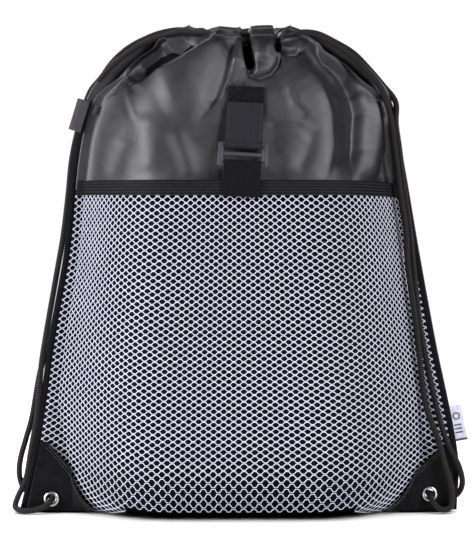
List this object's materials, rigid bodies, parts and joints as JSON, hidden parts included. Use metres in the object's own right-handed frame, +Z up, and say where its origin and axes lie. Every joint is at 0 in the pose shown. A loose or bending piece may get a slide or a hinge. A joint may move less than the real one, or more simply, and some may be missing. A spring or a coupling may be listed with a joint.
{
  "type": "drawstring backpack",
  "caption": "Drawstring backpack with a net front pocket, a strap closure through a slider, corner eyelets and shoulder cords.",
  "frame": {"origin": "middle of the bottom seam, on the surface that the bag stands on", "axes": "+Z up, -Y towards the side with the net pocket, +X to the right as seen from that side"},
  "size_m": [0.3807, 0.1398, 0.4055],
  "materials": {
    "panel_cloth": "satin",
    "seam_cloth": "matte",
    "thread": "satin",
    "net": "satin",
    "elastic": "matte",
    "webbing": "satin",
    "buckle_plastic": "satin",
    "corner_leatherette": "satin",
    "nickel": "polished",
    "cord": "matte",
    "label_satin": "satin"
  },
  "bodies": {
    "bag": {"front_panel": "panel_cloth", "back_panel": "panel_cloth", "front_channel": "panel_cloth", "back_channel": "panel_cloth", "side_seam_left": "seam_cloth", "side_seam_right": "seam_cloth", "bottom_seam": "seam_cloth", "bar_tack_left": "thread", "bar_tack_right": "thread", "mesh_pocket": "net", "pocket_binding": "elastic", "loop_strap": "webbing", "anchor_webbing": "webbing", "patch_front_left": "corner_leatherette", "patch_front_right": "corner_leatherette", "patch_back_left": "corner_leatherette", "patch_back_right": "corner_leatherette", "eyelet_left": "nickel", "eyelet_right": "nickel", "washer_left": "nickel", "washer_right": "nickel", "cord_left": "cord", "cord_right": "cord"},
    "slider": {"slider": "buckle_plastic", "strap_fold": "webbing"},
    "flap": {"hook_flap": "webbing"},
    "hang_loop": {"hang_loop": "webbing"},
    "label": {"label": "label_satin"}
  },
  "joints": [
    {"name": "slider_tilt", "type": "hinge", "parent": "bag", "child": "slider", "pos_m": [0.00307, -0.07115, 0.2908], "axis": [0.9986, 0, -0.0523], "range_deg": [0, 12]},
    {"name": "flap_peel", "type": "hinge", "parent": "slider", "child": "flap", "pos_m": [0.00401, -0.06864, 0.30878], "axis": [0.9986, 0, -0.0523], "range_deg": [0, 150]},
    {"name": "hang_loop_swing", "type": "hinge", "parent": "bag", "child": "hang_loop", "pos_m": [-0.12736, 0, 0.33033], "axis": [0.2936, 0, 0.9559], "range_deg": [0, 50], "stiffness_Nm_per_rad": 0.0004},
    {"name": "label_flip", "type": "hinge", "parent": "bag", "child": "label", "pos_m": [0.1768, 0, 0.07336], "axis": [-0.1863, 0, 0.9825], "range_deg": [-10, 75], "stiffness_Nm_per_rad": 0.0001}
  ]
}
